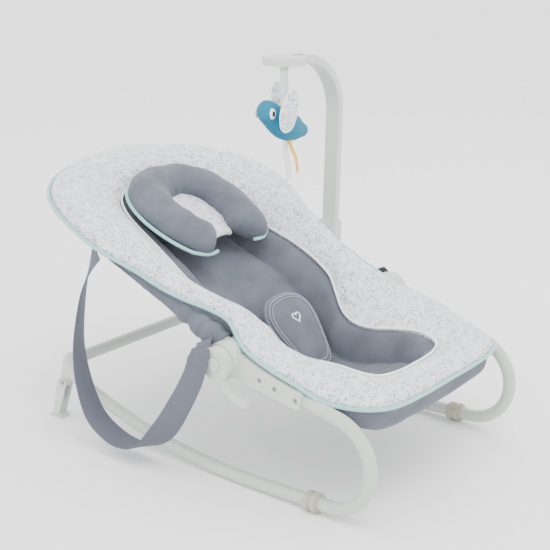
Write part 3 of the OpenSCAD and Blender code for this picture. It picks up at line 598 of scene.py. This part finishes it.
head_s = 0.288
curl = [(0.047, -0.092), (0.059, -0.078), (0.069, -0.056), (0.075, -0.028), (0.076, 0.000),
        (0.071, 0.028), (0.058, 0.052), (0.036, 0.067), (0.012, 0.072)]
curl = curl + [(-x, s) for x, s in reversed(curl)]
bolster_mid, bolster_wide, bolster_high = 0.032, 0.037, 0.024
bolster_path = smooth_line([(x, head_s + s, 0) for x, s in curl], 12)
verts = []
round_n = 24
count = len(bolster_path)
for i, (x, s, _) in enumerate(bolster_path):
    before = bolster_path[max(i - 1, 0)]
    after = bolster_path[min(i + 1, count - 1)]
    t = unit(after - before)
    side = np.array([t[1], -t[0], 0])
    end = min(i, count - 1 - i) / 14
    swell = math.sqrt(max(0.0, 1 - (1 - min(1, end)) ** 2)) if end < 1 else 1
    swell = 0.30 + 0.70 * swell
    for k in range(round_n):
        a = 2 * math.pi * k / round_n
        wide = bolster_wide * math.cos(a)
        high = bolster_high * math.sin(a)
        inner = max(0, -math.cos(a))
        gather = 1 - 0.07 * inner ** 2 * (0.5 + 0.5 * math.sin(i * 0.47)) ** 2
        p = on_back(x + side[0] * wide * swell * gather, s + side[1] * wide * swell * gather,
                    bolster_mid + high * swell * gather)
        p = p + 0.0022 * fold(p, 0.03, 21) * unit(p - on_back(x, s, bolster_mid))
        verts.append(p)
faces = grid_faces(count, round_n, False, True)
faces.append(tuple(range(round_n)))
faces.append(tuple(reversed(range((count - 1) * round_n, count * round_n))))
bolster = keep_mesh("head_bolster", verts, faces)
tidy_mesh(bolster)


def puff(obj, voxel, cap):
    # The stuffing pushes the sewn skin out until the cloth holds it, so it creases by itself.
    before = obj.modifiers.new("voxels", "REMESH")
    before.mode = "VOXEL"
    before.voxel_size = voxel
    before.use_smooth_shade = True
    bake(obj)
    rest = np.array([v.co for v in obj.data.vertices])
    scene = bpy.context.scene
    cloth = obj.modifiers.new("cloth", "CLOTH")
    cloth.settings.quality = 6
    cloth.settings.mass = 0.2
    cloth.settings.tension_stiffness = 12
    cloth.settings.compression_stiffness = 12
    cloth.settings.shear_stiffness = 6
    cloth.settings.bending_stiffness = 0.4
    cloth.settings.use_pressure = True
    cloth.settings.uniform_pressure_force = 4
    cloth.settings.effector_weights.gravity = 0
    for number in range(1, 21):
        scene.frame_set(number)
    ready = obj.evaluated_get(bpy.context.evaluated_depsgraph_get())
    moved = np.array([v.co for v in ready.data.vertices])
    shift = moved - rest
    length = np.linalg.norm(shift, axis=1, keepdims=True)
    shift *= np.minimum(1, cap / np.maximum(length, 1e-9))
    obj.modifiers.clear()
    obj.data.vertices.foreach_set("co", (rest + shift).ravel())
    scene.frame_set(1)
    finer = obj.modifiers.new("finer", "SUBSURF")
    finer.levels = finer.render_levels = 1
    bake(obj)
    obj.data.shade_smooth()


puff(bolster, 0.005, 0.006)
give(bolster, slate_cotton)
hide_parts("head_support")
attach(bolster, "backrest")

verts = []
panel_rows, panel_cols = 26, 30
for i in range(panel_rows):
    s = -0.076 + 0.122 * i / (panel_rows - 1)
    half = 0.056 * math.sqrt(max(0.02, 1 - max(0, s / 0.052) ** 2))
    half *= np.interp(s, [-0.076, -0.06, -0.03], [0.42, 0.62, 1])
    for k in range(panel_cols):
        u = 2 * k / (panel_cols - 1) - 1
        h = 0.020 + 0.008 * (1 - abs(u) ** 2.2) * min(1, (s + 0.1) / 0.03)
        verts.append(on_back(u * half, head_s + s, h))
head_panel = keep_mesh("head_panel", verts, grid_faces(panel_rows, panel_cols, False, False))
tidy_mesh(head_panel)
if sum(f.normal.z for f in head_panel.data.polygons) < 0:
    head_panel.data.flip_normals()
thick = head_panel.modifiers.new("wadding", "SOLIDIFY")
thick.thickness = 0.008
thick.offset = -1
finer = head_panel.modifiers.new("finer", "SUBSURF")
finer.levels = finer.render_levels = 1
head_panel = bake(head_panel)
head_panel.data.shade_smooth()
give(head_panel, jersey)
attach(head_panel, "backrest")

edge_path = []
for i, (x, s, _) in enumerate(bolster_path):
    before = bolster_path[max(i - 1, 0)]
    after = bolster_path[min(i + 1, count - 1)]
    t = unit(after - before)
    edge_path.append(on_back(x + t[1] * 0.0365, s - t[0] * 0.0365, 0.024))
binding_ends = [(0.080, -0.101), (0.070, -0.106), (0.058, -0.107), (0.046, -0.105)]
tips = [on_back(x, head_s + s, 0.023) for x, s in binding_ends]
mirrored = [p * (-1, 1, 1) for p in tips]
if edge_path[0][0] < 0:
    tips, mirrored = mirrored, tips
round_end = 14
edge_path = list(reversed(tips)) + edge_path[round_end:-round_end] + mirrored
head_binding = follow("head_binding", edge_path, piping_tree,
                      {"Radius": 0.0030, "Cloth": mint_poplin})
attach(head_binding, "backrest")


# Crotch pad: a stiff foam pad in slate cotton that hides the harness buckle. Its edge is bound
# with a folded strip, held by two rows of pale topstitching.
tilt = math.radians(50)
pad_low = np.array([0, -0.113, 0.1245])
pad_up = np.array([0, math.cos(tilt), math.sin(tilt)])
pad_out = np.array([0, -math.sin(tilt), math.cos(tilt)])


def on_pad(x, a, h):
    return pad_low + np.array([x, 0, 0]) + a * pad_up + h * pad_out


half_outline = [(0.000, 0.000), (0.020, 0.001), (0.0335, 0.011), (0.0420, 0.033), (0.0490, 0.060),
                (0.0535, 0.087), (0.0510, 0.110), (0.0365, 0.127), (0.0160, 0.1335)]
outline = half_outline + [(0.0, 0.134)] + [(-x, a) for x, a in reversed(half_outline[1:])]
outline = smooth_loop(np.array([(x, a, 0) for x, a in outline]), 8)
middle = np.array([0, 0.078, 0])
ring_steps = 22
verts = []
for x, a, _ in outline:
    for k in range(ring_steps):
        q = k / (ring_steps - 1)
        p = middle + (np.array([x, a, 0]) - middle) * q
        reach = 1 - q
        h = 0.0045 + 0.0075 * (1 - q ** 3.2)
        h -= 0.0016 * math.exp(-((q - 0.82) / 0.03) ** 2)
        h += 0.0012 * math.exp(-((q - 0.91) / 0.05) ** 2)
        if q > 0.97:
            h = 0.0035
        place = on_pad(p[0], p[1], h - 0.004)
        verts.append(place + pad_out * 0.0009 * fold(place, 0.03, 31) * (q < 0.95))
pad = keep_mesh("crotch_pad_cover", verts, grid_faces(len(outline), ring_steps, True, False))
tidy_mesh(pad, 1e-4)
if sum(f.normal.dot(Vector(pad_out)) for f in pad.data.polygons) < 0:
    pad.data.flip_normals()
thick = pad.modifiers.new("foam", "SOLIDIFY")
thick.thickness = 0.010
thick.offset = -1
pad = bake(pad)
pad.data.shade_smooth()
give(pad, slate_cotton)
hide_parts("crotch_pad")
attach(pad, "base")

slate_poplin = bias_strip("slate_poplin", "#545966", "#6a6f7c")
binding_path = [on_pad(x * 1.0, a, -0.0035) for x, a, _ in outline]
pad_binding = follow("crotch_pad_binding", binding_path, piping_tree,
                     {"Radius": 0.0034, "Cloth": slate_poplin}, closed=True)
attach(pad_binding, "base")

# One lockstitch is a 3 mm length of thread, sunk at both ends. They follow a line at 4 mm.
stitch_tree = bpy.data.node_groups.new("topstitch", "GeometryNodeTree")
stitch_tree.interface.new_socket("Path", in_out="INPUT", socket_type="NodeSocketGeometry")
for label in ("Pitch", "Length", "Radius"):
    stitch_tree.interface.new_socket(label, in_out="INPUT", socket_type="NodeSocketFloat")
stitch_tree.interface.new_socket("Thread", in_out="INPUT", socket_type="NodeSocketMaterial")
stitch_tree.interface.new_socket("Stitches", in_out="OUTPUT", socket_type="NodeSocketGeometry")
given = add_node(stitch_tree, "NodeGroupInput")
spaced = add_node(stitch_tree, "GeometryNodeResampleCurve",
                  {"Curve": given.outputs["Path"], "Length": given.outputs["Pitch"]},
                  mode="LENGTH")
tangent = add_node(stitch_tree, "GeometryNodeInputTangent")
turn = add_node(stitch_tree, "FunctionNodeAlignRotationToVector",
                {"Vector": tangent.outputs["Tangent"]}, axis="Z")
thread = add_node(stitch_tree, "GeometryNodeMeshCylinder",
                  {"Radius": given.outputs["Radius"], "Depth": given.outputs["Length"]},
                  {"Vertices": 6, "Side Segments": 1, "Fill Segments": 1})
placed = add_node(stitch_tree, "GeometryNodeInstanceOnPoints",
                  {"Points": spaced.outputs["Curve"], "Instance": thread.outputs["Mesh"],
                   "Rotation": turn.outputs["Rotation"]})
real = add_node(stitch_tree, "GeometryNodeRealizeInstances", {"Geometry": placed.outputs["Instances"]})
dress = add_node(stitch_tree, "GeometryNodeSetMaterial",
                 {"Geometry": real.outputs["Geometry"], "Material": given.outputs["Thread"]})
add_node(stitch_tree, "NodeGroupOutput", {"Stitches": dress.outputs["Geometry"]})

thread_white = bias_strip("polyester_thread", "#c3c8d0", "#dfe2e6")
for number, q in enumerate((0.955, 0.86)):
    line = []
    for x, a, _ in outline:
        p = middle + (np.array([x, a, 0]) - middle) * q
        h = 0.0045 + 0.0075 * (1 - q ** 3.2) - 0.0028
        line.append(on_pad(p[0], p[1], h))
    row = follow(f"pad_topstitch_{number + 1}", line, stitch_tree,
                 {"Pitch": 0.0036, "Length": 0.0026, "Radius": 0.00032, "Thread": thread_white},
                 closed=True)
    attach(row, "base")

# A small embroidered heart, in satin stitch, near the top of the pad.
satin = bias_strip("white_satin_thread", "#e9ebee", "#ffffff")
heart = []
for k in range(60):
    a = 2 * math.pi * k / 60
    x = 16 * math.sin(a) ** 3
    y = 13 * math.cos(a) - 5 * math.cos(2 * a) - 2 * math.cos(3 * a) - math.cos(4 * a)
    heart.append(on_pad(-0.00055 * x, 0.090 + 0.00055 * y, 0.0084))
emblem = follow("embroidered_heart", heart, piping_tree,
                {"Radius": 0.0011, "Cloth": satin}, closed=True)
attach(emblem, "base")

for name in ("crotch_strap",):
    give(nodes[name], slate_cotton)
buckle_plastic, tree, shader = start_material("moulded_acetal", 0.35, "#3d4047")
coords = add_node(tree, "ShaderNodeTexCoord")
skin = add_node(tree, "ShaderNodeTexNoise", {"Vector": coords.outputs["Object"]}, {"Scale": 500.0})
bump = add_node(tree, "ShaderNodeBump", {"Height": skin.outputs["Fac"]},
                {"Strength": 0.1, "Distance": 0.0001})
tree.links.new(bump.outputs["Normal"], shader.inputs["Normal"])
give(nodes["harness_buckle"], buckle_plastic)


# Tube sleeves: loose tubes of slate cotton that the backrest legs run through, pushed up into
# rolls above the hubs.
flare = math.radians(2.5)
sleeve_start, sleeve_end = 0.022, 0.210
roll_start, roll_l = 0.030, 0.0287
for side in (-1, 1):
    verts = []
    stations = np.linspace(sleeve_start, sleeve_end, 80)
    for s in stations:
        bulge = 0.0045 * abs(math.sin(math.pi * (s - roll_start) / roll_l)) ** 0.7
        bulge *= np.interp(s, [sleeve_start, roll_start, 0.100, 0.125], [0.3, 1, 1, 0.1])
        loose = np.interp(s, [0.064, 0.080], [0.0152, 0.0112])
        for k in range(28):
            a = 2 * math.pi * k / 28
            r = loose + bulge * (0.8 + 0.2 * math.cos(a))
            x = 0.190 + s * math.tan(flare) + r * math.cos(a)
            h = 0.006 + r * math.sin(a)
            p = on_back(side * x, s, h)
            p = p + unit(p - on_back(side * (0.190 + s * math.tan(flare)), s, 0.006)) * (
                0.0011 * fold(p, 0.012, 41) + 0.0004)
            verts.append(p)
    faces = grid_faces(len(stations), 28, False, True)
    sleeve = keep_mesh("tube_sleeve_" + ("left" if side < 0 else "right"), verts, faces)
    tidy_mesh(sleeve)
    thick = sleeve.modifiers.new("cloth", "SOLIDIFY")
    thick.thickness = 0.001
    thick.offset = -1
    sleeve = bake(sleeve)
    sleeve.data.shade_smooth()
    give(sleeve, slate_cotton)
    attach(sleeve, "backrest")
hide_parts("back_sleeve")


# Carry straps: 38 mm woven webbing, one on each side, sewn under the cover at the head end. Each
# hangs slack nearly to the floor, twists, and turns in over the hub at its front end.
webbing, tree, shader = start_material("polyester_webbing", 0.7)
coords = add_node(tree, "ShaderNodeTexCoord")
ribs = add_node(tree, "ShaderNodeTexWave", {"Vector": coords.outputs["UV"]},
                {"Scale": 190.0, "Distortion": 0.4}, bands_direction="Y")
tone = add_node(tree, "ShaderNodeValToRGB", {"Fac": ribs.outputs["Fac"]})
tone.color_ramp.elements[0].color = linear("#4a4e5a")
tone.color_ramp.elements[1].color = linear("#595e6b")
tree.links.new(tone.outputs["Color"], shader.inputs["Base Color"])
bump = add_node(tree, "ShaderNodeBump", {"Height": ribs.outputs["Fac"]},
                {"Strength": 0.25, "Distance": 0.0004})
tree.links.new(bump.outputs["Normal"], shader.inputs["Normal"])
shader.inputs["Sheen Weight"].default_value = 0.1
strap_route = [
    (0.136, 0.326, 66, 0.242), (0.146, 0.306, 50, 0.245), (0.161, 0.272, 35, 0.246),
    (0.174, 0.225, 27, 0.246), (0.183, 0.165, 19, 0.246), (0.176, 0.108, 6, 0.246),
    (0.154, 0.058, -6, 0.246), (0.120, 0.034, -12, 0.246), (0.082, 0.026, -6, 0.246),
    (0.042, 0.034, 20, 0.246), (0.000, 0.074, 62, 0.246), (-0.036, 0.128, 84, 0.246),
    (-0.060, 0.172, 90, 0.246), (-0.068, 0.200, 90, 0.244), (-0.066, 0.216, 90, 0.234),
    (-0.062, 0.224, 90, 0.220),
]
strap_w, strap_t = 0.038, 0.0016
route = smooth_line(np.array(strap_route), 12)
strap_section = [(-0.5, 0.0), (-0.47, -0.5), (0.47, -0.5), (0.5, 0.0), (0.47, 0.5), (-0.47, 0.5)]
for side in (-1, 1):
    verts = []
    uvs = []
    run = 0
    for i, (y, z, turn_deg, x) in enumerate(route):
        before = route[max(i - 1, 0)]
        after = route[min(i + 1, len(route) - 1)]
        slope = math.atan2(after[1] - before[1], after[0] - before[0])
        if i:
            run += math.dist((x, y, z), (route[i - 1][3], *route[i - 1][:2]))
        a = math.radians(turn_deg)
        up = np.array([0, -math.sin(slope), math.cos(slope)])
        across = np.array([math.cos(a), 0, 0]) - math.sin(a) * up
        out = np.array([math.sin(a), 0, 0]) + math.cos(a) * up
        for c, d in strap_section:
            p = np.array([x, y, z]) + c * strap_w * across + d * strap_t * out
            verts.append(p * (side, 1, 1))
            uvs.append((c * strap_w, run))
    n = len(strap_section)
    faces = grid_faces(len(route), n, False, True)
    faces.append(tuple(range(n)))
    faces.append(tuple(reversed(range((len(route) - 1) * n, len(route) * n))))
    strap = keep_mesh("strap_webbing_" + ("left" if side < 0 else "right"), verts, faces)
    layer = strap.data.uv_layers.new(name="cloth")
    for loop in strap.data.loops:
        layer.data[loop.index].uv = uvs[loop.vertex_index]
    tidy_mesh(strap, 1e-7)
    give(strap, webbing)
    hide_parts("carry_strap_" + ("left" if side < 0 else "right"))
    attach(strap, "backrest")


# Toy: a stuffed bird of teal felt, with two quilted wings, sewn eyes and ribbon tails. It hangs
# by a ribbon loop from the hook under the disc.
toy_x, toy_y = 0.072, 0.0215
teal_felt, tree, shader = start_material("teal_felt", 0.9)
coords = add_node(tree, "ShaderNodeTexCoord")
fuzz = add_node(tree, "ShaderNodeTexNoise", {"Vector": coords.outputs["Object"]},
                {"Scale": 420.0, "Detail": 4.0})
tone = add_node(tree, "ShaderNodeValToRGB", {"Fac": fuzz.outputs["Fac"]})
tone.color_ramp.elements[0].color = linear("#00566f")
tone.color_ramp.elements[1].color = linear("#0083a2")
tree.links.new(tone.outputs["Color"], shader.inputs["Base Color"])
bump = add_node(tree, "ShaderNodeBump", {"Height": fuzz.outputs["Fac"]},
                {"Strength": 0.3, "Distance": 0.0006})
tree.links.new(bump.outputs["Normal"], shader.inputs["Normal"])
shader.inputs["Sheen Weight"].default_value = 0.05

bird_line = [(-0.0570, 0.5230, 0.0110), (-0.051, 0.5205, 0.0155), (-0.043, 0.5160, 0.0180),
             (-0.031, 0.5080, 0.0195), (-0.015, 0.4980, 0.0225), (0.003, 0.4890, 0.0240),
             (0.020, 0.4825, 0.0215), (0.036, 0.4775, 0.0160), (0.050, 0.4735, 0.0110),
             (0.060, 0.4715, 0.0075)]
line = smooth_line(np.array(bird_line), 6)
verts = []
for i, (dx, z, r) in enumerate(line):
    before, after = line[max(i - 1, 0)], line[min(i + 1, len(line) - 1)]
    t = unit(np.array([after[0] - before[0], after[1] - before[1]]))
    cap = min(1, (i + 0.4) / 6, (len(line) - 0.6 - i) / 3)
    r *= math.sqrt(max(0.02, 1 - (1 - cap) ** 2))
    for k in range(26):
        a = 2 * math.pi * k / 26
        flat = 0.92 if i < 40 else 0.7
        p = np.array([toy_x + dx - t[1] * r * math.sin(a) * 1.05, toy_y + r * flat * math.cos(a),
                      z + t[0] * r * math.sin(a) * 1.05])
        p += 0.0008 * fold(p, 0.015, 51)
        verts.append(p)
faces = grid_faces(len(line), 26, False, True)
faces.append(tuple(range(26)))
faces.append(tuple(reversed(range((len(line) - 1) * 26, len(line) * 26))))
bird = keep_mesh("bird_skin", verts, faces)
tidy_mesh(bird)
finer = bird.modifiers.new("finer", "SUBSURF")
finer.levels = finer.render_levels = 1
bird = bake(bird)
bird.data.shade_smooth()
give(bird, teal_felt)
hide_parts("bird_body")
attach(bird, "toy")

wing_shapes = [(0.000, -0.030), (0.012, -0.026), (0.020, -0.012), (0.024, 0.006),
               (0.022, 0.024), (0.012, 0.036), (0.000, 0.034), (-0.010, 0.026),
               (-0.018, 0.012), (-0.021, -0.004), (-0.017, -0.020), (-0.009, -0.028)]
wing_outline = smooth_loop(np.array([(x, z, 0) for x, z in wing_shapes]), 6)
for side in (-1, 1):
    verts = []
    grid_n = 12

    def on_wing(u, v, h):
        y = side * (0.0275 + h) + v * (0.10 if side < 0 else 0.35) * side
        return np.array([toy_x - 0.026 + u + (0.052 if side > 0 else 0), toy_y + y, 0.514 + v])

    for face in (1, -1):
        for x, z, _ in wing_outline:
            for k in range(grid_n):
                q = k / (grid_n - 1)
                h = face * 0.0042 * (1 - q ** 2.4) + 0.0015
                verts.append(on_wing(x * q, z * q, h))
    n = len(wing_outline)
    faces = grid_faces(n, grid_n, True, False)
    faces = faces + [tuple(v + n * grid_n for v in f) for f in faces]
    wing = keep_mesh("bird_wing_" + ("left" if side < 0 else "right"), verts, faces)
    tidy_mesh(wing, 1e-5)
    give(wing, jersey)
    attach(wing, "toy")
    rim = follow("wing_piping_" + ("left" if side < 0 else "right"),
                 [on_wing(x, z, 0.0015) for x, z, _ in wing_outline], piping_tree,
                 {"Radius": 0.0011, "Cloth": white_poplin}, closed=True)
    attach(rim, "toy")
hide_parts("bird_wings")

# Eyes: an oval of white felt with a smaller dark one sewn on it.
dark_felt, tree, shader = start_material("dark_felt", 0.9)
coords = add_node(tree, "ShaderNodeTexCoord")
fuzz = add_node(tree, "ShaderNodeTexNoise", {"Vector": coords.outputs["Object"]}, {"Scale": 500.0})
tone = add_node(tree, "ShaderNodeValToRGB", {"Fac": fuzz.outputs["Fac"]})
tone.color_ramp.elements[0].color = linear("#17181c")
tone.color_ramp.elements[1].color = linear("#2c2d33")
tree.links.new(tone.outputs["Color"], shader.inputs["Base Color"])
for side in (-1, 1):
    for kind, (wide, high, out, felt) in {
            "white": (0.0058, 0.0088, 0.0182, white_poplin),
            "pupil": (0.0030, 0.0052, 0.0190, dark_felt)}.items():
        verts = [(toy_x - 0.050, toy_y + side * (out + 0.0012), 0.515)]
        n = 24
        for r, h in ((0.5, 0.0010), (0.9, 0.0005), (1.0, -0.0012)):
            for k in range(n):
                a = 2 * math.pi * k / n
                x = wide * r * math.cos(a)
                z = high * r * math.sin(a)
                back = 0.26 * abs(min(0, x - 0.002)) + 18 * z * z
                verts.append((toy_x - 0.050 + x, toy_y + side * (out + h - back), 0.515 + z))
        faces = [(0, 1 + k, 1 + (k + 1) % n) for k in range(n)]
        for ring in range(2):
            for k in range(n):
                a, b = 1 + ring * n + k, 1 + ring * n + (k + 1) % n
                faces.append((a, a + n, b + n, b))
        faces.append(tuple(1 + 2 * n + k for k in range(n)))
        eye = keep_mesh(f"eye_{kind}_" + ("left" if side < 0 else "right"), verts, faces)
        tidy_mesh(eye)
        give(eye, felt)
        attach(eye, "toy")
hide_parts("bird_eyes")

# Ribbons: 10 mm satin ribbon, cut in a fishtail, and the loop the bird hangs by.
ribbon_satins = {
    "yellow": bias_strip("yellow_satin", "#f0b400", "#f7c628"),
    "white": bias_strip("white_satin", "#ececec", "#fafafa"),
}


def ribbon(name, points, width, side_axis, colour):
    points = smooth_line(np.array(points), 8)
    verts = []
    count = len(points)
    for i, p in enumerate(points):
        notch = 0.4 * width if i == count - 1 else 0
        t = unit(points[min(i + 1, count - 1)] - points[max(i - 1, 0)])
        w = unit(np.array(side_axis) - t * np.dot(side_axis, t))
        d = np.cross(t, w) * 0.0004
        for c in (-0.5, 0, 0.5):
            place = p + w * c * width - t * notch * (c == 0)
            verts.append(place + d)
            verts.append(place - d)
    faces = []
    for i in range(count - 1):
        a, b = i * 6, (i + 1) * 6
        for u, v in ((0, 2), (2, 4), (5, 3), (3, 1), (4, 5), (1, 0)):
            faces.append((a + u, a + v, b + v, b + u))
    for base in (0, (count - 1) * 6):
        faces.append((base, base + 2, base + 3, base + 1))
        faces.append((base + 2, base + 4, base + 5, base + 3))
    obj = keep_mesh(name, verts, faces)
    tidy_mesh(obj, 1e-7)
    give(obj, ribbon_satins[colour])
    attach(obj, "toy")
    return obj


yellow = ribbon("ribbon_yellow", [(0.083, toy_y, 0.468), (0.092, toy_y, 0.448),
                                  (0.101, toy_y - 0.002, 0.430), (0.110, toy_y, 0.404)],
                0.011, (1, 0.3, 0), "yellow")
pale = ribbon("ribbon_white", [(0.078, toy_y + 0.002, 0.468), (0.081, toy_y + 0.003, 0.440),
                               (0.085, toy_y + 0.001, 0.414), (0.087, toy_y + 0.002, 0.393)],
              0.010, (1, -0.4, 0), "white")
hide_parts("bird_ribbons")
hang = ribbon("hang_loop", [(toy_x - 0.004, toy_y, 0.505), (toy_x - 0.0045, toy_y, 0.540),
                            (toy_x - 0.003, toy_y, 0.570), (toy_x - 0.0012, toy_y, 0.5805),
                            (toy_x, toy_y, 0.5822), (toy_x + 0.0012, toy_y, 0.5805),
                            (toy_x + 0.003, toy_y, 0.570), (toy_x + 0.0045, toy_y, 0.540),
                            (toy_x + 0.002, toy_y, 0.505)],
              0.010, (0, 1, 0), "white")
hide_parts("toy_loop")


low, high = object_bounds()
